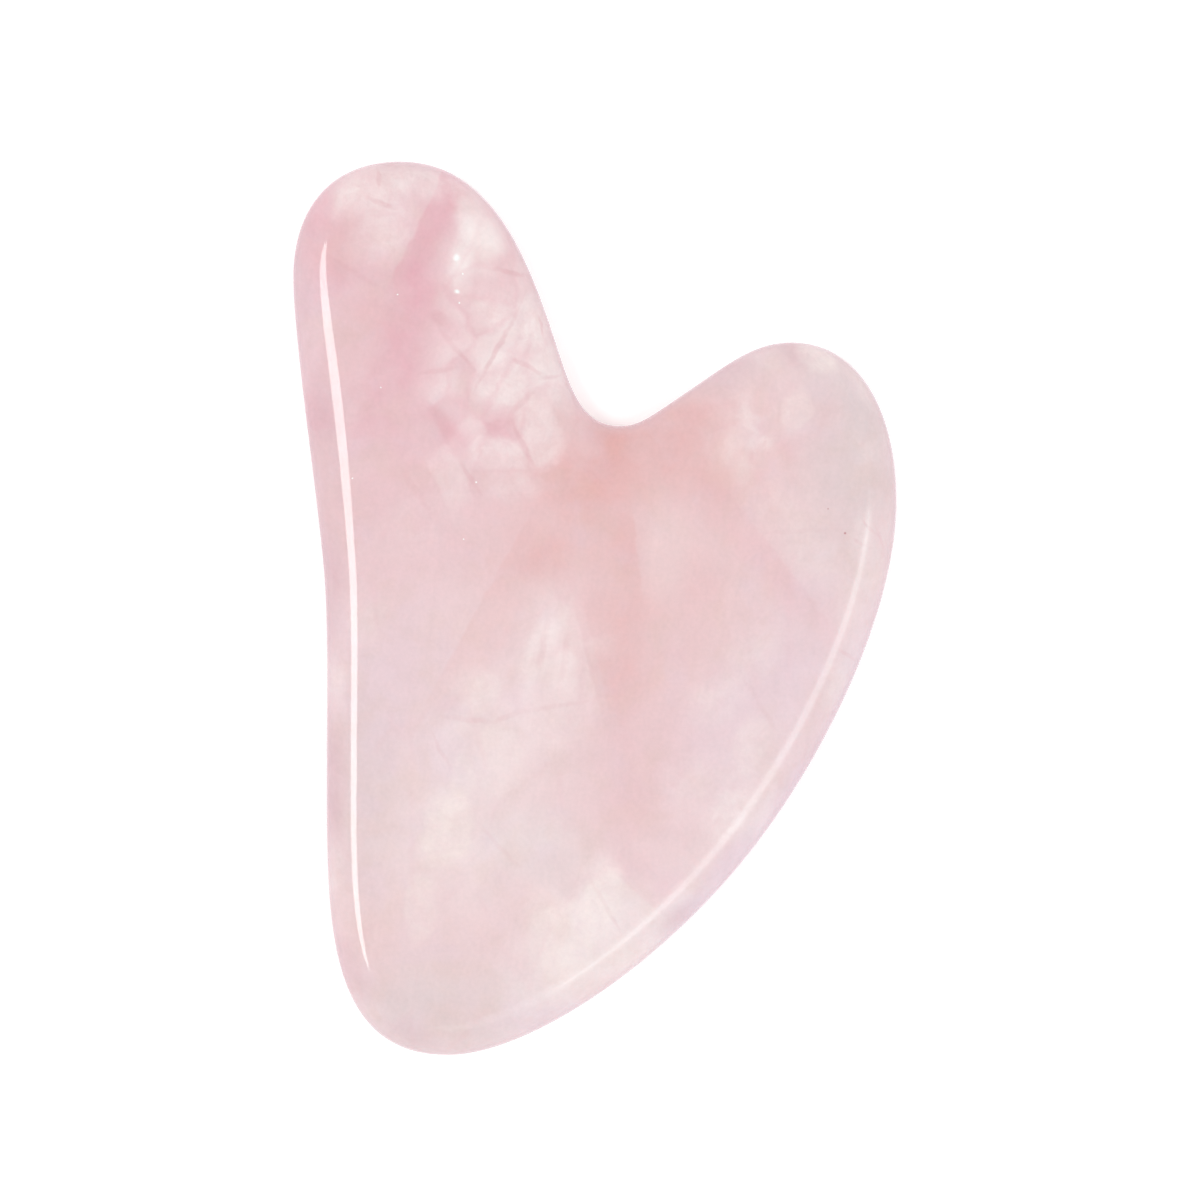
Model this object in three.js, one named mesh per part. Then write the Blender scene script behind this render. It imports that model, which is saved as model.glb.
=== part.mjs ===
// Gua sha scraper: one flat, heart-shaped plate of rose quartz with a tall lobe, a short lobe, a notch
// between them and a blunt tip. Both faces are flat, and a rounded edge runs all the way round.
// Millimetres, +Z up. The plate lies on one face, with its length along Y and the tall lobe towards +Y.
// The origin is at the middle of the outline's length and width, on the lower face.

import * as THREE from 'three';

// Driving dimensions
const length = 85; // from the tip to the top of the tall lobe
const width = 57.4; // across the widest places on the left and right
const thickness = 6; // between the two flat faces
const shoulderRadius = 4; // of the gentle curve in which a flat face starts to turn into the edge
const shoulderAngle = THREE.MathUtils.degToRad(35); // through which the shoulder turns

// Fineness of the faceted surface
const stepsPerCurve = 12; // round the outline, for each curve between two knots
const shoulderSteps = 3;
const noseSteps = 4; // from the shoulder to the middle of the edge

// Worked out from the driving dimensions: the nose takes up the thickness that the two shoulders leave
const shoulderFall = shoulderRadius * (1 - Math.cos(shoulderAngle));
const noseRadius = (thickness / 2 - shoulderFall) / Math.cos(shoulderAngle);
const edgeInset = shoulderRadius * Math.sin(shoulderAngle) + noseRadius * (1 - Math.sin(shoulderAngle));

// The outline is a closed chain of cubic curves, anticlockwise as seen from above. Each knot has the
// heading in degrees from +X in which the outline passes it, and the reach of its handles on either side.
const outlineKnots = [
  { x: -18.5, y: length / 2, heading: 180, before: 8.9, after: 6.9 }, // top of the tall lobe
  { x: -width / 2, y: 31.5, heading: -90, before: 6.2, after: 5.9 }, // outer side of the tall lobe
  { x: -25.7, y: 2.6, heading: -86, before: 6.8, after: 4.9 }, // hip
  { x: -25.5, y: -13.6, heading: -90, before: 4, after: 14.3 }, // waist
  { x: -14, y: -length / 2, heading: 0, before: 12.3, after: 7.4 }, // tip
  { x: 14.9, y: -23, heading: 52, before: 14.2, after: 12.6 }, // belly
  { x: width / 2, y: 10.2, heading: 90, before: 9.7, after: 8.5 }, // outer side of the short lobe
  { x: 18.7, y: 25.3, heading: 180, before: 6.5, after: 3.6 }, // top of the short lobe
  { x: 8.8, y: 20.6, heading: -146, before: 4.7, after: 4.1 }, // inner flank of the short lobe
  { x: 2.4, y: 17.35, heading: 180, before: 1.9, after: 3.7 }, // bottom of the notch
  { x: -3.6, y: 24.9, heading: 108, before: 4.2, after: 8.4 }, // inner flank of the tall lobe
];

// A knot's handle: the point that lies the given reach along its heading
function handle(knot, reach) {
  const heading = THREE.MathUtils.degToRad(knot.heading);
  return new THREE.Vector2(knot.x + reach * Math.cos(heading), knot.y + reach * Math.sin(heading));
}

// Points round the outline, each with the direction that leads straight into the stone
function outlineSamples() {
  const samples = [];
  outlineKnots.forEach((knot, index) => {
    const next = outlineKnots[(index + 1) % outlineKnots.length];
    const curve = new THREE.CubicBezierCurve(
      handle(knot, 0),
      handle(knot, knot.after),
      handle(next, -next.before),
      handle(next, 0),
    );
    for (let step = 0; step < stepsPerCurve; step += 1) {
      const point = curve.getPoint(step / stepsPerCurve);
      const tangent = curve.getTangent(step / stepsPerCurve);
      samples.push({ point, inward: new THREE.Vector2(-tangent.y, tangent.x) });
    }
  });
  return samples;
}

// The edge in cross-section, from the border of the upper face down to the middle of the edge: a gentle
// shoulder and a tighter round nose that meet without a kink. Insets are measured in from the outline,
// and heights from the plate's middle plane.
function upperEdgeProfile() {
  const profile = [];
  for (let step = 0; step < shoulderSteps; step += 1) {
    const angle = (shoulderAngle * step) / shoulderSteps;
    profile.push({
      inset: edgeInset - shoulderRadius * Math.sin(angle),
      height: thickness / 2 - shoulderRadius * (1 - Math.cos(angle)),
    });
  }
  for (let step = 0; step <= noseSteps; step += 1) {
    const angle = shoulderAngle + ((Math.PI / 2 - shoulderAngle) * step) / noseSteps;
    profile.push({ inset: noseRadius * (1 - Math.sin(angle)), height: noseRadius * Math.cos(angle) });
  }
  return profile;
}

// The whole plate: one ring of vertices for each point of the edge profile, and a flat face at each end
function stoneGeometry() {
  const samples = outlineSamples();
  const upper = upperEdgeProfile();
  const lower = upper.slice(0, -1).reverse().map(({ inset, height }) => ({ inset, height: -height }));
  const profile = [...upper, ...lower];

  const positions = [];
  profile.forEach(({ inset, height }) => {
    samples.forEach(({ point, inward }) => {
      const x = point.x + inset * inward.x;
      const y = point.y + inset * inward.y;
      positions.push(x, y, height + thickness / 2);
    });
  });

  const indices = [];
  const count = samples.length;
  for (let row = 0; row < profile.length - 1; row += 1) {
    for (let column = 0; column < count; column += 1) {
      const a = row * count + column;
      const b = row * count + ((column + 1) % count);
      indices.push(a, a + count, b, b, a + count, b + count);
    }
  }

  const border = samples.map(({ point, inward }) => point.clone().addScaledVector(inward, edgeInset));
  const lastRow = (profile.length - 1) * count;
  THREE.ShapeUtils.triangulateShape(border, []).forEach(([a, b, c]) => {
    indices.push(a, b, c);
    indices.push(lastRow + a, lastRow + c, lastRow + b);
  });

  const geometry = new THREE.BufferGeometry();
  geometry.setAttribute('position', new THREE.Float32BufferAttribute(positions, 3));
  geometry.setIndex(indices);
  geometry.computeVertexNormals();
  return geometry;
}

const roseQuartz = new THREE.MeshStandardMaterial({ color: '#ecd0d2', roughness: 0.08, metalness: 0 });

const stone = new THREE.Mesh(stoneGeometry(), roseQuartz);
stone.name = 'stone_body';

const group = new THREE.Group();
group.add(stone);

export default group;
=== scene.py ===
"""A polished rose quartz gua sha stone on a plain white floor, seen from straight above."""

import math

import bpy
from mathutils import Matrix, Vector, geometry, noise


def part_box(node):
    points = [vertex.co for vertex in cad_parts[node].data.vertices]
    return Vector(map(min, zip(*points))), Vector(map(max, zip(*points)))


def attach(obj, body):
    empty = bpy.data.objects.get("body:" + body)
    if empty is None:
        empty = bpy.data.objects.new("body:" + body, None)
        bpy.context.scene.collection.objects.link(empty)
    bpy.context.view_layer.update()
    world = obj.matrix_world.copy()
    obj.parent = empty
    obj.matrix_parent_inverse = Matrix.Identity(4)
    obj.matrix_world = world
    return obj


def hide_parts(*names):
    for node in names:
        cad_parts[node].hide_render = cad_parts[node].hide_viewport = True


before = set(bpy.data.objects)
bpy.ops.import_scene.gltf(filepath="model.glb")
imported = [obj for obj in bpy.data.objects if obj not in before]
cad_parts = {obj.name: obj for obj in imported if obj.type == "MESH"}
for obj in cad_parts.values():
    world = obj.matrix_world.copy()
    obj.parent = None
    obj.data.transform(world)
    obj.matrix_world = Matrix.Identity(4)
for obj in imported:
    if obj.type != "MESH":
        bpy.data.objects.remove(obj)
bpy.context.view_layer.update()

MM = 0.001
LOW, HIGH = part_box("stone_body")
LENGTH = HIGH.y - LOW.y
WIDTH = HIGH.x - LOW.x
THICKNESS = HIGH.z - LOW.z
MIDDLE_HEIGHT = (LOW.z + HIGH.z) / 2


# ---------------------------------------------------------------- shape of the stone

SHOULDER_RADIUS = 4 * MM
SHOULDER_ANGLE = math.radians(35)
NOSE_RADIUS = (THICKNESS / 2 - SHOULDER_RADIUS * (1 - math.cos(SHOULDER_ANGLE))) / math.cos(SHOULDER_ANGLE)
EDGE_INSET = SHOULDER_RADIUS * math.sin(SHOULDER_ANGLE) + NOSE_RADIUS * (1 - math.sin(SHOULDER_ANGLE))

STEPS_PER_CURVE = 44
SHOULDER_STEPS = 12
NOSE_STEPS = 16
FACE_SPACING = 0.9 * MM
POLISH_WAVE_LENGTH = 14 * MM
POLISH_WAVE_HEIGHT = 0.012 * MM

# How the flat faces are triangulated: only inside the border, with points closer than this joined.
# Every fourth point of the border is enough to tell which points lie inside it.
ONLY_INSIDE = 1
JOINING_DISTANCE = 0.0001 * MM
BORDER_STRIDE = 4

# The hand-ground edge is a little wider along the outer side of the tall lobe.
WIDE_EDGE_MIDDLE = Vector((-27, 19.5)) * MM
WIDE_EDGE_REACH = 14 * MM
WIDE_EDGE_EXTRA = 0.3

# The outline's knots, as in the CAD part: x and y in mm, heading in degrees, and the reach of the
# handles before and after the knot in mm. Anticlockwise from above.
OUTLINE_KNOTS = [
    (-18.5, LENGTH / 2 / MM, 180, 8.9, 6.9),  # top of the tall lobe
    (-WIDTH / 2 / MM, 31.5, -90, 6.2, 5.9),  # outer side of the tall lobe
    (-25.7, 2.6, -86, 6.8, 4.9),  # hip
    (-25.5, -13.6, -90, 4, 14.3),  # waist
    (-14, -LENGTH / 2 / MM, 0, 12.3, 7.4),  # tip
    (14.9, -23, 52, 14.2, 12.6),  # belly
    (WIDTH / 2 / MM, 10.2, 90, 9.7, 8.5),  # outer side of the short lobe
    (18.7, 25.3, 180, 6.5, 3.6),  # top of the short lobe
    (8.8, 20.6, -146, 4.7, 4.1),  # inner flank of the short lobe
    (2.4, 17.35, 180, 1.9, 3.7),  # bottom of the notch
    (-3.6, 24.9, 108, 4.2, 8.4),  # inner flank of the tall lobe
]


def heading_vector(degrees):
    angle = math.radians(degrees)
    return Vector((math.cos(angle), math.sin(angle)))


def outline_samples():
    """Points round the outline, each with the direction that leads straight into the stone."""
    samples = []
    for index, (x, y, heading, _, after) in enumerate(OUTLINE_KNOTS):
        next_x, next_y, next_heading, before, _ = OUTLINE_KNOTS[(index + 1) % len(OUTLINE_KNOTS)]
        p0 = Vector((x, y)) * MM
        p1 = p0 + heading_vector(heading) * after * MM
        p3 = Vector((next_x, next_y)) * MM
        p2 = p3 - heading_vector(next_heading) * before * MM
        for step in range(STEPS_PER_CURVE):
            t = step / STEPS_PER_CURVE
            s = 1 - t
            point = s**3 * p0 + 3 * s * s * t * p1 + 3 * s * t * t * p2 + t**3 * p3
            tangent = s * s * (p1 - p0) + 2 * s * t * (p2 - p1) + t * t * (p3 - p2)
            tangent.normalize()
            samples.append((point, Vector((-tangent.y, tangent.x))))
    return samples


def edge_profile():
    """(inset from the outline, height above the middle plane) from the upper face down to the lower."""
    upper = []
    for step in range(SHOULDER_STEPS):
        angle = SHOULDER_ANGLE * step / SHOULDER_STEPS
        inset = EDGE_INSET - SHOULDER_RADIUS * math.sin(angle)
        height = THICKNESS / 2 - SHOULDER_RADIUS * (1 - math.cos(angle))
        upper.append((inset, height))
    for step in range(NOSE_STEPS + 1):
        angle = SHOULDER_ANGLE + (math.pi / 2 - SHOULDER_ANGLE) * step / NOSE_STEPS
        upper.append((NOSE_RADIUS * (1 - math.sin(angle)), NOSE_RADIUS * math.cos(angle)))
    lower = [(inset, -height) for inset, height in reversed(upper[:-1])]
    return upper + lower


def edge_width(point):
    """The width of the edge profile at a point of the outline, in units of its usual width."""
    away = (point - WIDE_EDGE_MIDDLE).length / WIDE_EDGE_REACH
    return 1 + WIDE_EDGE_EXTRA * math.exp(-away * away)


def is_inside(point, loop):
    """Whether a line from the point towards +x crosses the loop an odd number of times."""
    inside = False
    previous = loop[-1]
    for current in loop:
        if (current.y > point.y) != (previous.y > point.y):
            crossing = (previous.x - current.x) * (point.y - current.y) / (previous.y - current.y) + current.x
            if point.x < crossing:
                inside = not inside
        previous = current
    return inside


def face_mesh(border):
    """Triangulates a flat face, with evenly spread points inside its border. Returns points and triangles."""
    coarse = border[::BORDER_STRIDE]
    inner = []
    row_height = FACE_SPACING * math.sqrt(3) / 2
    rows = int(LENGTH / row_height)
    columns = int(WIDTH / FACE_SPACING)
    for row in range(rows):
        stagger = (row % 2) / 2
        for column in range(columns):
            x = LOW.x + (column + stagger) * FACE_SPACING
            y = LOW.y + row * row_height
            point = Vector((x, y))
            if not is_inside(point, coarse):
                continue
            if min((point - other).length_squared for other in coarse) > FACE_SPACING**2:
                inner.append(point)
    count = len(border)
    edges = [(i, (i + 1) % count) for i in range(count)]
    mesh_parts = geometry.delaunay_2d_cdt(border + inner, edges, [], ONLY_INSIDE, JOINING_DISTANCE)
    points, _, triangles, _, _, _ = mesh_parts
    return points, triangles


def polish_wave(point):
    return noise.noise(point / POLISH_WAVE_LENGTH) * POLISH_WAVE_HEIGHT


def make_stone():
    samples = outline_samples()
    profile = edge_profile()
    count = len(samples)
    vertices = []
    for inset, height in profile:
        for point, inward in samples:
            place = point + inward * inset * edge_width(point)
            vertices.append(Vector((place.x, place.y, MIDDLE_HEIGHT + height)))

    faces = []
    for row in range(len(profile) - 1):
        for column in range(count):
            a = row * count + column
            b = row * count + (column + 1) % count
            faces.append((a, a + count, b + count, b))

    border = [point + inward * EDGE_INSET * edge_width(point) for point, inward in samples]
    points, triangles = face_mesh(border)
    last_row = (len(profile) - 1) * count
    inner_points = points[count:]
    upper_start = len(vertices)
    vertices += [Vector((p.x, p.y, HIGH.z)) for p in inner_points]
    lower_start = len(vertices)
    vertices += [Vector((p.x, p.y, LOW.z)) for p in inner_points]
    for triangle in triangles:
        upper = [i if i < count else upper_start + i - count for i in triangle]
        lower = [last_row + i if i < count else lower_start + i - count for i in triangle]
        faces.append(tuple(upper))
        faces.append(tuple(reversed(lower)))

    mesh = bpy.data.meshes.new("polished_stone")
    mesh.from_pydata([tuple(v) for v in vertices], [], faces)
    mesh.update()
    normals = [vertex.normal.copy() for vertex in mesh.vertices]
    for vertex, normal in zip(mesh.vertices, normals):
        vertex.co += normal * polish_wave(vertex.co)
    mesh.polygons.foreach_set("use_smooth", [True] * len(mesh.polygons))
    mesh.update()
    stone = bpy.data.objects.new("polished_stone", mesh)
    bpy.context.collection.objects.link(stone)
    return stone


# ---------------------------------------------------------------- rose quartz

def srgb(code):
    """A colour such as "#ecd0d2" as the linear numbers that shaders use."""
    values = [int(code[i:i + 2], 16) / 255 for i in (1, 3, 5)]
    linear = [v / 12.92 if v <= 0.04045 else ((v + 0.055) / 1.055) ** 2.4 for v in values]
    return (*linear, 1)


MILKY_ROSE = srgb("#e8cacd")
DEEP_ROSE = srgb("#e1a8b4")
PEACH = srgb("#e1abaa")
MIST = srgb("#dac8ca")
LILAC = srgb("#e2c9d5")
PALE = srgb("#f2e6e7")
CLOUD = srgb("#f8ebea")
CREAM = srgb("#f6e7e3")
TAN = srgb("#dbbbae")
# Painted shade: the rim colour darkens the line along the outline, and the shade colour darkens places along
# the rim.
RIM_SHADE = srgb("#c594a6")
SHADE = srgb("#d2adb5")
CRACK = srgb("#d08a96")
PINK_CRACK = srgb("#d8a6ad")
# Painted highlight: the white of the glints.
GLINT = srgb("#ffffff")
RED_SPECK = srgb("#c07c80")

# Natural markings that run through the stone, in mm as seen from above, apart from lilac along the rim, which
# is painted light.
# Soft patches: (x, y, half length, half width, angle in degrees, strength).
MIST_PATCHES = [
    (25.0, 14.0, 16.0, 9.0, 80, 0.6),
    (-22.0, -17.0, 16.0, 6.0, 88, 0.4),
    (-15.0, -39.0, 18.0, 9.0, 5, 0.6),
    (-6.0, -22.5, 10.0, 5.0, -25, 0.35),
    (13.0, 23.0, 9.0, 4.0, 30, 0.25),
    (22.0, 22.4, 8.0, 4.0, -40, 0.25),
]
# Lilac in the stone; the long thin entries along the rim paint the more lilac look of the ground edge, where
# light is bent through it.
LILAC_PATCHES = [
    (-19.5, -6.0, 12.0, 8.0, 75, 0.35),
    (-12.8, -12.6, 6.0, 5.0, 0, 0.35),
    (15.0, -10.0, 16.0, 9.0, 60, 0.4),
    (25.6, -6.0, 13.0, 3.4, 68, 0.6),
    (20.0, -4.0, 8.0, 5.0, 60, 0.14),
    (16.4, -22.6, 16.0, 3.6, 52, 0.8),
    (-27.0, 28.0, 10.0, 2.6, 88, 0.3),
    (8.6, -29.8, 5.0, 2.8, 45, 0.7),
    (-3.0, -38.6, 8.0, 2.4, 18, 0.4),
]
PALE_PATCHES = [
    (-12.0, -19.0, 20.0, 11.0, 76, 0.32),
    (2.0, -31.5, 18.0, 10.0, 34, 0.5),
    (16.0, -15.0, 20.0, 5.0, 56, 0.1),
    (16.0, -20.4, 6.0, 3.0, 54, 0.3),
    (26.0, 0.0, 14.0, 4.0, 76, 0.25),
    (-4.0, -23.0, 8.0, 5.0, -20, 0.16),
    (7.0, -20.0, 6.0, 4.0, 70, 0.13),
    (22.0, 24.5, 8.0, 5.0, -20, 0.15),
]
ROSE_PATCHES = [
    (-19.0, 27.0, 26.0, 16.0, 82, 0.36),
    (-16.4, 28.0, 9.0, 4.0, 78, 0.18),
    (-16.4, 29.0, 7.0, 4.4, 70, 0.27),
    (-18.8, 22.5, 9.0, 4.6, 75, 0.18),
    (-20.5, 20.0, 5.0, 4.0, 80, 0.1),
    (-26.0, 35.5, 6.0, 4.0, 60, 0.28),
    (-27.2, 18.8, 5.0, 3.4, 85, 0.12),
    (-14.0, 11.0, 20.0, 13.0, 15, 0.17),
    (-14.3, 17.0, 4.6, 1.8, -55, 0.24),
    (-9.3, 17.2, 5.0, 2.0, 10, 0.26),
    (-7.5, 31.0, 5.0, 2.2, -20, 0.08),
    (-13.4, 26.0, 2.8, 1.6, -55, 0.3),
    (-24.6, 31.2, 4.2, 2.6, 20, 0.24),
    (-26.4, 37.2, 3.6, 2.0, 75, 0.28),
    (-24.6, 39.7, 2.6, 1.6, 50, 0.22),
    (-22.4, 15.9, 3.0, 2.0, 80, 0.14),
    (-18.6, 37.8, 2.6, 1.4, -60, 0.24),
    (-12.0, 15.8, 2.6, 1.2, -50, 0.3),
    (18.1, 15.0, 2.4, 1.8, 0, 0.12),
    (7.4, -26.2, 3.2, 2.0, 50, 0.1),
    (-12.2, 38.6, 3.4, 1.8, -50, 0.22),
    (15.6, 5.4, 16.0, 3.4, -50, 0.1),
    (4.5, -15.0, 17.0, 8.0, -85, 0.16),
    (-18.0, 6.0, 12.0, 9.0, 70, 0.08),
    (7.4, -23.0, 8.0, 6.0, -60, 0.05),
    (10.0, 1.0, 7.0, 4.0, 80, 0.08),
    (-1.0, 2.0, 7.0, 4.0, 80, 0.08),
]
PEACH_PATCHES = [
    (3.4, 14.4, 15.0, 8.0, 5, 0.42),
    (-4.0, 9.0, 14.0, 8.0, 50, 0.28),
    (3.0, 7.0, 18.0, 9.0, -85, 0.22),
    (2.0, -1.0, 14.0, 5.6, -83, 0.23),
    (4.6, -13.0, 16.0, 6.5, -84, 0.08),
    (-24.0, 34.2, 5.0, 3.4, 60, 0.22),
    (1.8, 13.8, 6.0, 3.2, 50, 0.18),
    (0.8, 16.8, 3.0, 1.8, 0, 0.3),
    (-21.0, 27.0, 8.0, 4.0, 70, 0.16),
    (-4.8, 4.6, 4.4, 2.4, 30, 0.3),
    (-3.8, 2.9, 3.2, 1.8, 40, 0.2),
    (21.4, 18.0, 3.6, 2.2, 70, 0.14),
    (10.0, 1.0, 14.0, 9.0, 80, 0.2),
    (12.0, 14.0, 12.0, 9.0, -30, 0.28),
    (11.0, 18.0, 8.0, 3.2, 32, 0.14),
    (-12.4, -31.0, 7.0, 5.0, 0, 0.07),
    (-20.4, -33.0, 7.0, 5.0, 60, 0.06),
]

# Painted shade along the rim: darker and more lilac places where the ground edge turns away from the light.
SHADE_PATCHES = [
    (-28.2, 36.0, 8.0, 2.4, 82, 0.42),
    (-28.2, 27.0, 9.0, 2.4, 92, 0.44),
    (-26.8, 12.0, 10.0, 2.4, 97, 0.36),
    (-25.6, 19.4, 6.0, 2.4, 96, 0.32),
    (-24.9, 13.2, 7.0, 2.4, 97, 0.3),
    (-25.2, 2.8, 8.0, 2.6, 91, 0.62),
    (-25.6, -5.0, 7.0, 2.0, 90, 0.4),
    (-25.0, -15.8, 8.0, 2.4, 90, 0.64),
    (-25.0, -21.5, 5.0, 2.2, 92, 0.25),
    (-23.6, -33.8, 6.0, 2.4, 118, 0.44),
    (-17.0, -40.6, 5.0, 2.2, -20, 0.22),
    (-17.6, 41.4, 4.0, 1.6, 0, 0.3),
    (8.4, -29.3, 3.6, 1.8, 43, 0.4),
    (19.2, 24.2, 2.8, 2.2, 0, 0.4),
    (15.0, 23.6, 3.4, 1.6, 20, 0.2),
    (12.4, 21.6, 4.0, 2.4, 36, 0.34),
]
# Painted tint: the more lilac look of the lower right edge, where light is bent through the bevel.
RIM_LILAC_PATCHES = [
    (12.6, -24.4, 7.0, 2.0, 50, 0.55),
    (19.4, -16.2, 6.0, 2.0, 57, 0.35),
]

# White clouds, wisps with an even filling, and creamy clouds with clear borders.
CLOUD_PATCHES = [
    (-20.6, 39.2, 4.8, 3.2, -10, 0.32),
    (-16.4, 40.4, 5.0, 2.4, -8, 0.34),
    (-20.0, 35.6, 5.0, 3.6, 60, 0.3),
    (-9.3, 27.8, 3.6, 2.6, -20, 0.4),
    (-6.6, 25.6, 2.8, 1.8, 60, 0.5),
    (-9.7, 20.0, 2.6, 1.6, -30, 0.3),
    (-23.0, 38.4, 2.8, 1.8, 40, 0.24),
    (-12.2, 39.4, 2.8, 1.6, -40, 0.24),
    (-20.8, -1.0, 3.4, 2.2, 70, 0.13),
    (-6.5, -4.8, 2.6, 1.5, 75, 0.2),
    (23.4, -7.0, 3.6, 1.8, 64, 0.2),
    (-12.2, -11.6, 2.8, 1.8, 0, 0.16),
    (-7.6, 29.7, 2.6, 1.5, 0, 0.18),
    (-5.2, -28.0, 3.2, 2.2, 60, 0.16),
    (-13.8, 20.8, 3.2, 1.8, 10, 0.24),
    (-13.6, 24.2, 2.8, 1.8, 60, 0.14),
    (-7.4, 11.8, 3.8, 2.4, 10, 0.24),
    (-3.4, 21.0, 3.6, 2.0, -66, 0.38),
    (-10.8, -7.6, 4.0, 3.0, 0, 0.18),
    (11.8, -8.8, 4.4, 3.6, 0, 0.18),
    (14.2, -16.0, 8.0, 5.0, 60, 0.12),
    (12.7, -19.6, 4.4, 2.4, 52, 0.3),
    (2.4, -33.0, 4.0, 2.0, 30, 0.16),
    (15.0, -5.0, 5.0, 3.4, 60, 0.18),
    (-5.0, -10.6, 6.0, 4.0, 0, 0.17),
    (-16.6, 8.0, 6.0, 4.0, 20, 0.12),
    (9.0, -16.6, 5.0, 3.4, 70, 0.16),
    (14.6, 17.0, 9.0, 4.0, -52, 0.1),
    (14.2, 18.4, 2.8, 1.8, -40, 0.24),
    (15.9, 15.6, 2.4, 1.8, -20, 0.24),
    (12.6, 14.6, 2.2, 1.6, 70, 0.18),
    (13.9, 12.7, 2.2, 1.6, 40, 0.16),
    (16.4, 23.4, 3.2, 1.6, 10, 0.16),
    (25.4, 20.6, 3.4, 1.4, -52, 0.2),
    (26.4, 14.6, 3.0, 2.2, 0, 0.1),
    (17.6, 9.4, 6.0, 4.0, 0, 0.12),
    (21.0, 4.6, 6.0, 3.0, -50, 0.14),
    # This one also paints the soft white start of the right highlight.
    (25.6, 7.2, 3.0, 2.2, 80, 0.2),
    (0.6, -27.5, 5.4, 3.0, 70, 0.34),
    (-5.0, -35.0, 9.0, 3.4, 15, 0.07),
    (-25.0, -6.4, 4.0, 2.4, 90, 0.3),
    (-25.2, -25.4, 4.6, 2.4, 90, 0.25),
]
SMOOTH_PATCHES = [
    (-10.7, 35.6, 4.3, 2.3, -50, 0.7),
    # These three, round the glints, paint the glare about them as well as white cloud.
    (-12.5, 33.4, 4.2, 1.6, 74, 0.42),
    (-12.5, 30.9, 3.0, 1.5, 85, 0.28),
    (-11.2, 32.6, 3.0, 1.8, -20, 0.36),
    (6.6, 5.2, 6.4, 3.0, 84, 0.14),
    (-3.2, -3.6, 6.0, 2.0, 76, 0.22),
    (-5.4, -4.4, 5.6, 1.8, 72, 0.34),
    (-2.4, -6.8, 4.0, 1.8, 82, 0.12),
]
CREAM_PATCHES = [
    (-14.2, -20.8, 5.2, 2.7, 82, 0.38),
    (-12.2, -15.4, 2.8, 1.5, 70, 0.2),
    (-16.3, -28.6, 3.6, 1.8, 80, 0.22),
    (-3.0, -30.8, 4.4, 3.6, 60, 0.34),
    (1.4, -27.2, 4.4, 2.2, 76, 0.26),
    (-8.8, -13.8, 4.0, 2.4, 80, 0.18),
    (-10.4, -8.4, 2.8, 2.2, 60, 0.15),
    (14.6, -13.2, 3.2, 1.9, 75, 0.17),
    (19.0, 18.9, 2.8, 1.5, 76, 0.24),
    (21.3, 23.7, 2.4, 1.7, -40, 0.42),
]

# Broken pieces with straighter sides, laid out like the patches.
CELL_BLOCKS = [
    (-4.9, 26.4, 4.2, 1.9, -66, 0.34),
    (-7.7, 21.6, 3.4, 2.7, -20, 0.4),
    (-4.8, 16.6, 3.4, 2.2, -68, 0.3),
    (-9.1, 15.0, 3.3, 1.8, 12, 0.32),
    (-14.0, 12.2, 3.4, 1.8, -64, 0.2),
]

# Where the stone has broken and healed into a patchwork of pale pieces.
SHATTERED_PATCHES = [
    (-9.0, 21.0, 16.0, 10.5, 105, 1.0),
    (-10.0, 33.0, 9.0, 6.0, 60, 0.5),
    (-3.5, -4.0, 10.0, 7.0, 85, 0.5),
    (15.0, 17.0, 9.0, 7.0, 0, 0.5),
]
SHATTERED_SIZE = 4.2
WEB_SIZE = 7.0

# Veils end sharply along one line and fade out to its left. The line goes through (x, y) at the
# angle: (x, y, half length, fading distance, angle in degrees, strength).
ROSE_VEILS = [
    (-15.8, 37.8, 11.0, 4.2, -117, 0.36),
    (17.0, 5.4, 13.0, 4.0, 128, 0.11),
    (3.9, -26.8, 5.0, 5.0, -41, 0.12),
    (-27.0, 16.8, 3.5, 5.0, 0, 0.22),
    (-7.0, 28.8, 2.4, 1.6, 40, 0.14),
]
PEACH_VEILS = [
    (-10.9, 0.2, 13.5, 6.0, -119, 0.17),
    (4.0, 5.4, 5.6, 3.4, 97, 0.2),
    (0.2, -4.9, 7.6, 6.0, -76, 0.12),
]
CLOUD_VEILS = [
    (-0.9, -4.0, 8.4, 6.0, 104, 0.16),
]

# Healed cracks: (x and y of one end, x and y of the other, half width, strength).
ROSE_CRACKS = [
    (-10.6, 32.2, -5.4, 31.2, 0.4, 0.34),
    (-16.0, 28.4, -13.4, 26.2, 0.9, 0.36),
    (-5.8, 30.6, -12.0, 19.4, 0.36, 0.38),
    (-15.4, 27.2, -10.6, 21.6, 0.36, 0.3),
    (-17.4, 22.0, -12.0, 22.9, 0.34, 0.22),
    (-9.4, 24.6, -3.4, 21.1, 0.36, 0.28),
    (-6.0, 21.6, -2.4, 21.8, 0.32, 0.3),
    (-5.4, 20.8, -8.6, 17.8, 0.5, 0.26),
    (-16.2, 20.0, -12.4, 15.0, 0.9, 0.24),
    (-11.8, 16.4, -6.8, 18.0, 0.85, 0.24),
    (-7.9, 18.0, -5.6, 13.0, 0.4, 0.36),
    (-13.2, 14.6, -10.4, 10.2, 0.34, 0.26),
    (-18.8, 14.2, -15.2, 8.6, 0.5, 0.16),
    (-5.0, 27.8, -4.6, 25.2, 0.26, 0.4),
    (-26.4, 34.0, -18.4, 29.2, 0.34, 0.12),
    (-20.2, 41.8, -20.4, 39.2, 0.3, 0.36),
    (-22.0, 39.1, -17.8, 37.2, 0.4, 0.38),
]
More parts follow.
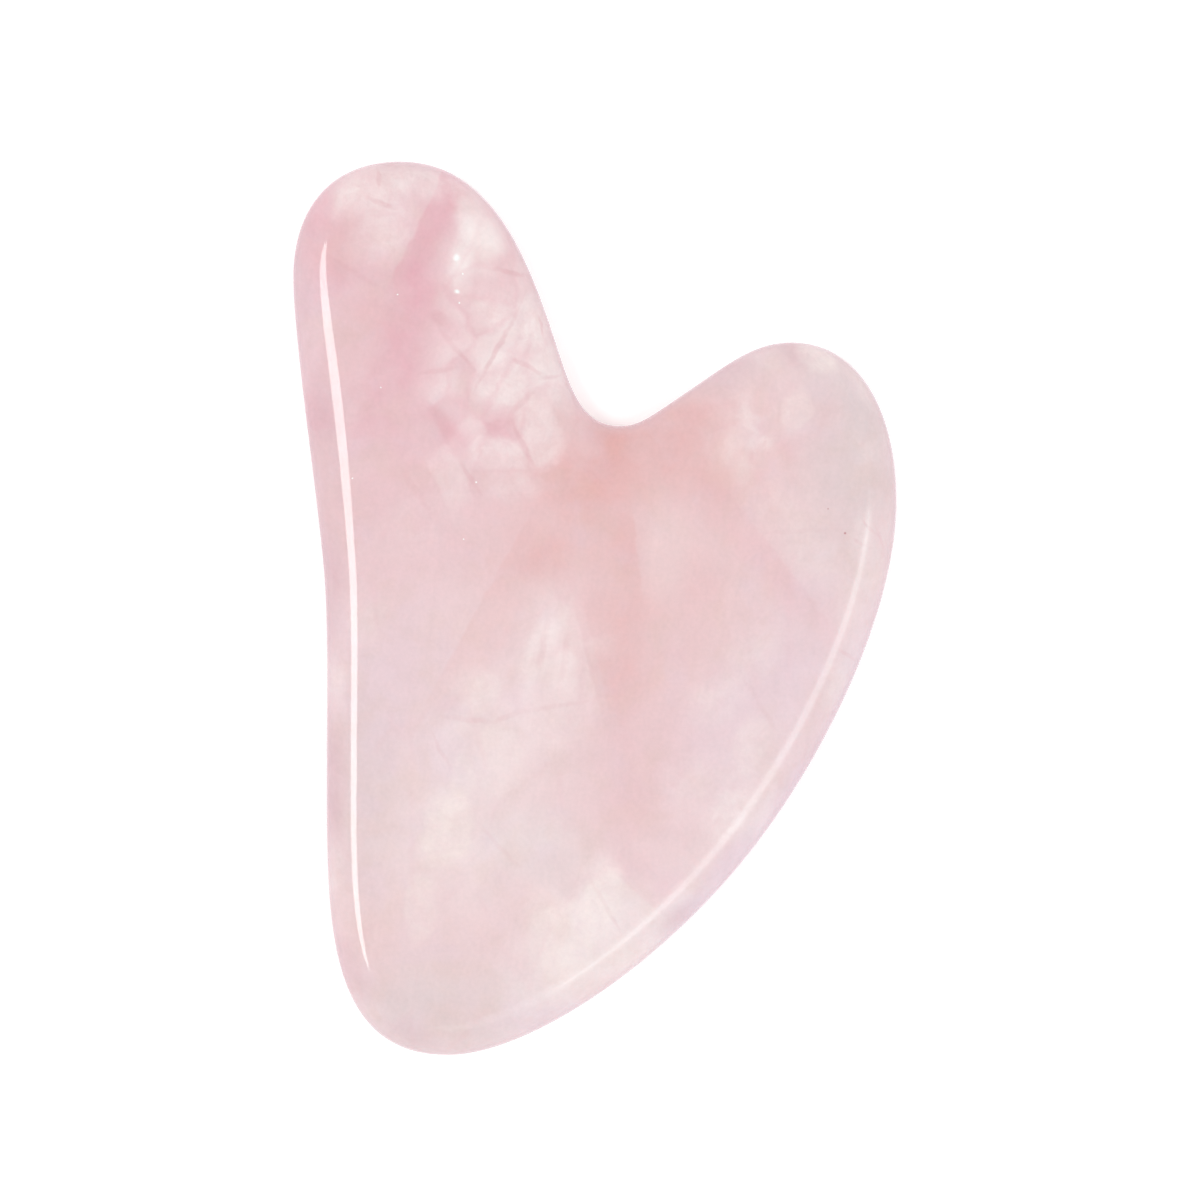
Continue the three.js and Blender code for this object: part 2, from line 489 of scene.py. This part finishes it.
PINK_CRACKS = [
    (-15.7, -11.2, -13.0, -15.9, 0.24, 0.24),
    (-15.0, -10.1, -8.6, -10.8, 0.45, 0.34),
    (-10.2, -10.9, -6.0, -9.3, 0.4, 0.34),
    (-7.8, -9.8, 1.0, -8.5, 0.32, 0.24),
    (-4.0, 1.6, -5.8, -9.0, 0.5, 0.2),
    (-2.0, 0.0, -3.6, -9.0, 0.5, 0.2),
    (-12.0, -19.2, -6.6, -25.0, 0.3, 0.15),
    (-1.0, -24.4, 3.0, -31.6, 0.3, 0.24),
    (13.4, -5.4, 17.6, -12.4, 0.34, 0.12),
    (15.0, 7.0, 23.4, 7.5, 0.3, 0.2),
    (22.6, -3.6, 25.2, -5.2, 0.3, 0.34),
    (24.9, 8.7, 27.3, 6.3, 0.24, 0.36),
    (26.2, 8.4, 27.8, 5.0, 0.24, 0.3),
    (24.2, 6.7, 25.8, 5.7, 0.28, 0.36),
]

# Painted glints: small white highlights where light catches flaws inside the stone. Red specks: dark specks
# in the stone. Both (x, y, radius).
GLINTS = [
    (-13.1, 33.1, 0.46),
    (-12.9, 29.9, 0.38),
    (-12.4, 31.6, 0.16),
    (-12.8, 28.8, 0.16),
    (-18.5, 29.6, 0.12),
    (-20.2, 20.8, 0.1),
    (-22.8, 12.2, 0.14),
    (-11.2, 11.9, 0.12),
    (-12.4, 6.5, 0.12),
]
RED_SPECKS = [
    (23.6, 7.1, 0.17),
    (22.0, 9.4, 0.11),
]

# How deep the marks go, in mm, and how far they lean sideways for each mm of depth.
MARK_DEPTH = 14
SPECK_DEPTH = 1.5
SLANT_X = 0.25
SLANT_Y = -0.15

# Where marks reach their full strength, on the way from their edge at 0 to their middle at 1.
PATCH_FILL = 0.85
WISP_FILL = 0.7
CREAM_FILL = 0.42
CRACK_FILL = 0.7
VEIL_FILL = 0.6

# A veil's sharp side is this wide, in mm. Blocks are nearly straight-sided because of this power.
VEIL_EDGE = 0.35
BLOCK_POWER = 4

# How places are pushed about before the marks are drawn: size of the waves and reach in mm, detail.
LOOSE_WARP = (8, 1.6, 2)
RAGGED_WARP = (1.8, 0.7, 4)
WIGGLY_WARP = (1.6, 0.35, 4)
WARP_ROUGHNESS = 0.5

# Noises: size in mm, detail, roughness. Their values go from 0 to 1 and lie mostly near the middle.
# The silk's size is in units of its grain.
NOISE_MIDDLE = 0.5
COTTON_NOISE = (1.5, 5, 0.65)
HAZE_NOISE = (5, 4, 0.55)
TAN_NOISE = (3.5, 3, 0.5)
LILAC_NOISE = (4.5, 3, 0.5)
BROKEN_NOISE = (4, 3, 0.5)
CRUMBLY_NOISE = (1.8, 3, 0.5)
BLOTCH_NOISE = (2.6, 4, 0.6)
GRAIN_NOISE = (0.4, 2, 0.6)
SILK_NOISE = (1, 3, 0.6)

# What a pattern's values stand for: from low to high, and the strengths at those two values.
COTTON_LEVELS = (0.35, 0.65, 0.6, 1.3)
HAZE_LEVELS = (0.3, 0.7, 0.76, 1.24)
TAN_LEVELS = (0.45, 0.7, 0, 0.16)
LILAC_LEVELS = (0.5, 0.75, 0, 0.25)
BROKEN_LEVELS = (0.42, 0.6, 0, 1)
CRUMBLY_LEVELS = (0.35, 0.65, 0.35, 0.8)
SHARD_LEVELS = (0.25, 0.8, 0, 0.4)
# The rim's painted shade goes by flatness: none on the faces, up to half at the outline.
RIM_SHADE_LEVELS = (0.85, 0.1, 0, 0.5)

# Patterns that are drawn out: angle in degrees, length and width.
SHARD_GRAIN = (62, 1.5, 1)
WEB_GRAIN = (75, 2.2, 1)
SILK_GRAIN = (80, 7, 0.8)

# The foam of cells: how soft the cells' borders are, and the width and strength of their walls.
CELL_SOFTNESS = 0.3
SHARD_SEAM_WIDTH = 0.5
SHARD_SEAM_STRENGTH = 0.22
WEB_SEAM_WIDTH = 0.4
WEB_SEAM_STRENGTH = 0.07

BLOTCH_STRENGTH = 0.13
SILK_STRENGTH = 0.05
GRAIN_STRENGTH = 0.1

POLISHED_ROUGHNESS = 0.05
QUARTZ_IOR = 1.544

# How much of the light scatters under the surface, and how far, with the shares of that distance
# for red, green and blue.
SCATTERING = 0.2
SCATTERING_DISTANCE = 0.8 * MM
SCATTERING_SHARES = (1.0, 0.6, 0.6)


class Shader:
    """Small helpers that add nodes to one material. Places are in mm."""

    def __init__(self, name):
        self.material = bpy.data.materials.new(name)
        self.material.use_nodes = True
        self.tree = self.material.node_tree
        self.surface = self.tree.nodes["Principled BSDF"]

    def node(self, kind, inputs=(), **settings):
        """Adds a node. Its inputs are links where they are sockets, and plain values elsewhere."""
        node = self.tree.nodes.new(kind)
        for key, value in settings.items():
            setattr(node, key, value)
        for key, value in dict(inputs).items():
            if isinstance(value, bpy.types.NodeSocket):
                self.tree.links.new(value, node.inputs[key])
            else:
                node.inputs[key].default_value = value
        return node

    def math(self, operation, *values):
        return self.node("ShaderNodeMath", enumerate(values), operation=operation).outputs[0]

    def vector_math(self, operation, *values):
        return self.node("ShaderNodeVectorMath", enumerate(values), operation=operation).outputs[0]

    def scale(self, vector, factor):
        return self.node("ShaderNodeVectorMath", {0: vector, "Scale": factor}, operation="SCALE").outputs[0]

    def separate(self, vector, axis):
        return self.node("ShaderNodeSeparateXYZ", {0: vector}).outputs[axis]

    def noise(self, places, size, detail, roughness):
        inputs = {"Vector": places, "Scale": 1 / size, "Detail": detail, "Roughness": roughness}
        return self.node("ShaderNodeTexNoise", inputs)

    def noise_value(self, places, settings):
        return self.noise(places, *settings).outputs[0]

    def step(self, value, low, high, to_low=0, to_high=1):
        """Goes smoothly from to_low at low to to_high at high."""
        inputs = {"Value": value, "From Min": low, "From Max": high, "To Min": to_low, "To Max": to_high}
        return self.node("ShaderNodeMapRange", inputs, interpolation_type="SMOOTHSTEP").outputs[0]

    def mix(self, factor, first, second):
        """Mixes colours. The mix node has inputs for several kinds of value, and these are its colours'."""
        inputs = {0: factor, 6: first, 7: second}
        return self.node("ShaderNodeMix", inputs, data_type="RGBA").outputs[2]

    def warp(self, places, size, reach, detail):
        """Pushes places about, by up to roughly the reach, with a noise of the given size."""
        colour = self.noise(places, size, detail, WARP_ROUGHNESS).outputs["Color"]
        centred = self.vector_math("SUBTRACT", colour, (NOISE_MIDDLE, NOISE_MIDDLE, NOISE_MIDDLE))
        return self.vector_math("ADD", places, self.scale(centred, 2 * reach))

    def inside(self, places, x, y, half_length, half_width, angle, depth):
        """Places seen from an ellipsoid round (x, y) on the upper face, as if it were a unit ball."""
        inputs = {
            "Vector": places,
            "Location": (x, y, THICKNESS / MM),
            "Rotation": (0, 0, math.radians(angle)),
            "Scale": (half_length, half_width, depth),
        }
        return self.node("ShaderNodeMapping", inputs, vector_type="TEXTURE").outputs[0]

    def ball(self, local):
        """1 in the middle of the unit ball, falling evenly to 0 at its surface."""
        return self.node("ShaderNodeTexGradient", {"Vector": local}, gradient_type="SPHERICAL").outputs[1]

    def add_up(self, masks_and_strengths):
        total = 0
        for mask, strength in masks_and_strengths:
            total = self.math("MULTIPLY_ADD", mask, strength, total)
        return total

    def patches(self, places, marks, fill=PATCH_FILL):
        return self.add_up(
            (self.step(self.ball(self.inside(places, *place, MARK_DEPTH)), 0, fill), strength)
            for *place, strength in marks
        )

    def left_of(self, places, x, y, angle):
        """How far places lie to the left of the line through (x, y) at the angle."""
        left = heading_vector(angle + 90)
        inputs = {0: places, 1: (left.x, left.y, 0)}
        reach = self.node("ShaderNodeVectorMath", inputs, operation="DOT_PRODUCT").outputs["Value"]
        return self.math("SUBTRACT", reach, left.x * x + left.y * y)

    def blocks(self, places, marks):
        def mask(x, y, half_length, half_width, angle):
            sideways = self.math("DIVIDE", self.left_of(places, x, y, angle), half_width)
            endways = self.math("DIVIDE", self.left_of(places, x, y, angle - 90), half_length)
            sideways = self.math("POWER", sideways, BLOCK_POWER)
            endways = self.math("POWER", endways, BLOCK_POWER)
            return self.step(self.math("ADD", sideways, endways), 0, 1, 1, 0)

        return self.add_up((mask(*place), strength) for *place, strength in marks)

    def veils(self, places, marks):
        def mask(x, y, half_length, fading, angle):
            side = self.step(self.left_of(places, x, y, angle), -VEIL_EDGE / 2, VEIL_EDGE / 2)
            reach = self.ball(self.inside(places, x, y, half_length, fading, angle, MARK_DEPTH))
            return self.math("MULTIPLY", side, self.step(reach, 0, VEIL_FILL))

        return self.add_up((mask(*place), strength) for *place, strength in marks)

    def cracks(self, places, marks):
        lines = []
        for x1, y1, x2, y2, half_width, strength in marks:
            half_length = math.hypot(x2 - x1, y2 - y1) / 2
            angle = math.degrees(math.atan2(y2 - y1, x2 - x1))
            lines.append(((x1 + x2) / 2, (y1 + y2) / 2, half_length, half_width, angle, strength))
        return self.patches(places, lines, CRACK_FILL)

    def specks(self, places, marks):
        def mask(x, y, radius):
            return self.step(self.ball(self.inside(places, x, y, radius, radius, 0, SPECK_DEPTH)), 0, 1)

        return self.add_up((mask(*place), 1) for place in marks)

    def stretch(self, places, angle, length, width):
        """Places measured in lengths along the angle and in widths across it."""
        inputs = {"Vector": places, "Rotation": (0, 0, math.radians(angle)), "Scale": (length, width, length)}
        return self.node("ShaderNodeMapping", inputs, vector_type="TEXTURE").outputs[0]

    def web(self, places, size, width):
        """1 along the walls of a foam of cells, falling to 0 at the width."""
        inputs = {"Vector": places, "Scale": 1 / size}
        distance = self.node("ShaderNodeTexVoronoi", inputs, feature="DISTANCE_TO_EDGE").outputs[0]
        return self.step(distance, 0, width / size, 1, 0)

    def patchwork(self, places, size):
        """A different value from 0 to 1 in each cell of the foam."""
        inputs = {"Vector": places, "Scale": 1 / size, "Smoothness": CELL_SOFTNESS}
        colour = self.node("ShaderNodeTexVoronoi", inputs, feature="SMOOTH_F1").outputs["Color"]
        return self.separate(colour, "X")


def rose_quartz():
    shader = Shader("rose_quartz")
    coordinates = shader.node("ShaderNodeTexCoord")
    position = shader.scale(coordinates.outputs["Object"], 1 / MM)
    below = shader.math("SUBTRACT", THICKNESS / MM, shader.separate(position, "Z"))
    lean_x = shader.math("MULTIPLY", below, SLANT_X)
    lean_y = shader.math("MULTIPLY", below, SLANT_Y)
    lean = shader.node("ShaderNodeCombineXYZ", {"X": lean_x, "Y": lean_y}).outputs[0]
    places = shader.vector_math("ADD", position, lean)
    loose = shader.warp(places, *LOOSE_WARP)
    ragged = shader.warp(loose, *RAGGED_WARP)
    wiggly = shader.warp(places, *WIGGLY_WARP)

    # How evenly the marks are filled: cotton for the pale parts and haze for the rosy ones. The web of
    # fine lines is broken in places, and the cracks are crumbly.
    cotton = shader.step(shader.noise_value(ragged, COTTON_NOISE), *COTTON_LEVELS)
    haze = shader.step(shader.noise_value(loose, HAZE_NOISE), *HAZE_LEVELS)
    broken = shader.step(shader.noise_value(places, BROKEN_NOISE), *BROKEN_LEVELS)
    crumbly = shader.step(shader.noise_value(places, CRUMBLY_NOISE), *CRUMBLY_LEVELS)

    # 1 on the flat faces, and 0 at the outline.
    flatness = shader.math("ABSOLUTE", shader.separate(coordinates.outputs["Normal"], "Z"))

    shattered = shader.patches(loose, SHATTERED_PATCHES)
    pieces = shader.stretch(ragged, *SHARD_GRAIN)
    shards = shader.step(shader.patchwork(pieces, SHATTERED_SIZE), *SHARD_LEVELS)
    seams = shader.math("MULTIPLY", shader.web(pieces, SHATTERED_SIZE, SHARD_SEAM_WIDTH), SHARD_SEAM_STRENGTH)
    wide_web = shader.web(shader.stretch(wiggly, *WEB_GRAIN), WEB_SIZE, WEB_SEAM_WIDTH)
    rose = shader.math("ADD", shader.patches(loose, ROSE_PATCHES), shader.veils(wiggly, ROSE_VEILS))
    peach = shader.math("ADD", shader.patches(loose, PEACH_PATCHES), shader.veils(wiggly, PEACH_VEILS))

    colour = MILKY_ROSE

    def tint(amount, target, *variation):
        nonlocal colour
        for factor in variation:
            amount = shader.math("MULTIPLY", amount, factor)
        colour = shader.mix(shader.math("MINIMUM", amount, 1), colour, target)

    tint(shader.patches(loose, MIST_PATCHES), MIST, haze)
    tint(shader.patches(loose, LILAC_PATCHES), LILAC, haze)
    tint(shader.patches(loose, PALE_PATCHES), PALE, haze)
    tint(rose, DEEP_ROSE, haze)
    tint(peach, PEACH, haze)
    tint(shader.step(shader.noise_value(ragged, TAN_NOISE), *TAN_LEVELS), TAN)
    tint(shader.step(shader.noise_value(ragged, LILAC_NOISE), *LILAC_LEVELS), LILAC)
    # Painted shade along the rim.
    tint(shader.patches(places, SHADE_PATCHES), SHADE, haze)
    # Painted tint of light bent through the lower right edge.
    tint(shader.patches(places, RIM_LILAC_PATCHES), LILAC)
    tint(shader.patches(ragged, CLOUD_PATCHES), CLOUD, cotton)
    # Wisps of white cloud; near the glints they also paint glare.
    tint(shader.patches(wiggly, SMOOTH_PATCHES, WISP_FILL), CLOUD, haze)
    tint(shader.veils(wiggly, CLOUD_VEILS), CLOUD, cotton)
    tint(shattered, CLOUD, shards)
    tint(shader.blocks(ragged, CELL_BLOCKS), CLOUD, cotton)
    tint(shader.patches(ragged, CREAM_PATCHES, CREAM_FILL), CREAM, cotton)
    tint(shattered, DEEP_ROSE, seams)
    tint(wide_web, DEEP_ROSE, broken, WEB_SEAM_STRENGTH)
    tint(shader.cracks(wiggly, ROSE_CRACKS), CRACK, crumbly)
    tint(shader.cracks(wiggly, PINK_CRACKS), PINK_CRACK, crumbly)
    # Painted shade: a darker, purplish line where the edge turns away from the faces.
    tint(shader.step(flatness, *RIM_SHADE_LEVELS), RIM_SHADE)
    # Painted highlights: white glints where light catches flaws inside the stone.
    tint(shader.specks(wiggly, GLINTS), GLINT)
    tint(shader.specks(places, RED_SPECKS), RED_SPECK)

    blotches = shader.noise_value(ragged, BLOTCH_NOISE)
    silk = shader.noise_value(shader.stretch(loose, *SILK_GRAIN), SILK_NOISE)
    grain = shader.noise_value(places, GRAIN_NOISE)
    brightness = 1
    for value, strength in ((blotches, BLOTCH_STRENGTH), (silk, SILK_STRENGTH), (grain, GRAIN_STRENGTH)):
        change = shader.math("SUBTRACT", value, NOISE_MIDDLE)
        brightness = shader.math("MULTIPLY_ADD", change, strength, brightness)

    surface = shader.surface.inputs
    shader.tree.links.new(shader.scale(colour, brightness), surface["Base Color"])
    surface["Roughness"].default_value = POLISHED_ROUGHNESS
    surface["IOR"].default_value = QUARTZ_IOR
    surface["Subsurface Weight"].default_value = SCATTERING
    surface["Subsurface Radius"].default_value = SCATTERING_SHARES
    surface["Subsurface Scale"].default_value = SCATTERING_DISTANCE
    return shader.material


# ---------------------------------------------------------------- camera, light and floor

LENS = 100
SENSOR = 36
STONE_SHARE = 0.7442  # of the picture's height
FRAME_HEIGHT = LENGTH / STONE_SHARE
CLIP_FACTOR = 100
CAMERA_SHIFT_X = 0.5 * MM
CAMERA_SHIFT_Y = 0.8 * MM
FLOOR_SIZE = 6
FLOOR_COLOUR = (0.95, 0.95, 0.95, 1)
FLOOR_ROUGHNESS = 0.9
FLOOR_GLOW = 0.23
WHITE = (1, 1, 1, 1)
HORIZON_BRIGHTNESS = 0.97
ZENITH_BRIGHTNESS = 0.735
PALE_GREEN_LIGHT = (0.9, 1.0, 0.95)
CYAN_LIGHT = (0.7, 1.0, 0.97)
LAMP_DISTANCE = 3.0

# Oval lights: name, azimuth and tilt in degrees, across, along, brightness, colour.
LAMPS = [
    ("left_strip", 182.4, 25, 0.29, 0.42, 6.2, PALE_GREEN_LIGHT),
    ("right_strip", -34, 22.5, 0.3, 0.52, 1.65, CYAN_LIGHT),
    ("right_glow", -47, 22.5, 0.5, 0.86, 0.75, PALE_GREEN_LIGHT),
]


def make_camera():
    data = bpy.data.cameras.new("camera")
    data.lens = LENS
    data.sensor_width = SENSOR
    camera = bpy.data.objects.new("camera", data)
    distance = FRAME_HEIGHT * LENS / SENSOR
    camera.location = (CAMERA_SHIFT_X, CAMERA_SHIFT_Y, MIDDLE_HEIGHT + distance)
    data.clip_start = distance / CLIP_FACTOR
    data.clip_end = distance * CLIP_FACTOR
    bpy.context.collection.objects.link(camera)
    bpy.context.scene.camera = camera


def make_floor():
    mesh = bpy.data.meshes.new("floor")
    half = FLOOR_SIZE / 2
    corners = [(-half, -half, 0), (half, -half, 0), (half, half, 0), (-half, half, 0)]
    mesh.from_pydata(corners, [], [(0, 1, 2, 3)])
    floor = bpy.data.objects.new("floor", mesh)
    material = bpy.data.materials.new("floor_white")
    material.use_nodes = True
    surface = material.node_tree.nodes["Principled BSDF"].inputs
    surface["Base Color"].default_value = FLOOR_COLOUR
    surface["Roughness"].default_value = FLOOR_ROUGHNESS
    surface["Emission Color"].default_value = WHITE
    surface["Emission Strength"].default_value = FLOOR_GLOW
    mesh.materials.append(material)
    bpy.context.collection.objects.link(floor)


def make_world():
    """An even white studio that grows a little darker overhead, where the camera stands."""
    world = bpy.data.worlds.new("studio")
    world.use_nodes = True
    tree = world.node_tree
    direction = tree.nodes.new("ShaderNodeTexCoord").outputs["Generated"]
    height = tree.nodes.new("ShaderNodeSeparateXYZ")
    tree.links.new(direction, height.inputs[0])
    brightness = tree.nodes.new("ShaderNodeMapRange")
    brightness.inputs["From Min"].default_value = 0
    brightness.inputs["From Max"].default_value = 1
    brightness.inputs["To Min"].default_value = HORIZON_BRIGHTNESS
    brightness.inputs["To Max"].default_value = ZENITH_BRIGHTNESS
    tree.links.new(height.outputs["Z"], brightness.inputs["Value"])
    background = tree.nodes["Background"]
    background.inputs["Color"].default_value = WHITE
    tree.links.new(brightness.outputs[0], background.inputs["Strength"])
    bpy.context.scene.world = world


def make_lamp(name, azimuth, tilt, across, along, brightness, colour):
    """An oval light over the stone, lying across the way that it leans. Azimuth and tilt from straight
    up say where it stands. Its size is in units of its distance, and its brightness in units of a
    white wall's."""
    light = bpy.data.lights.new(name, "AREA")
    light.shape = "ELLIPSE"
    light.color = colour
    light.size = along * LAMP_DISTANCE
    light.size_y = across * LAMP_DISTANCE
    area = math.pi / 4 * light.size * light.size_y
    light.energy = brightness * math.pi * area
    lamp = bpy.data.objects.new(name, light)
    a, t = math.radians(azimuth), math.radians(tilt)
    towards = Vector((math.sin(t) * math.cos(a), math.sin(t) * math.sin(a), math.cos(t)))
    lamp.location = towards * LAMP_DISTANCE
    lamp.rotation_mode = "QUATERNION"
    lamp.rotation_quaternion = towards.to_track_quat("Z", "Y")
    bpy.context.collection.objects.link(lamp)


stone = make_stone()
stone.data.materials.append(rose_quartz())
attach(stone, "root")
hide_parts("stone_body")

make_camera()
make_floor()
make_world()
for lamp_settings in LAMPS:
    make_lamp(*lamp_settings)
bpy.context.scene.view_settings.view_transform = "Standard"
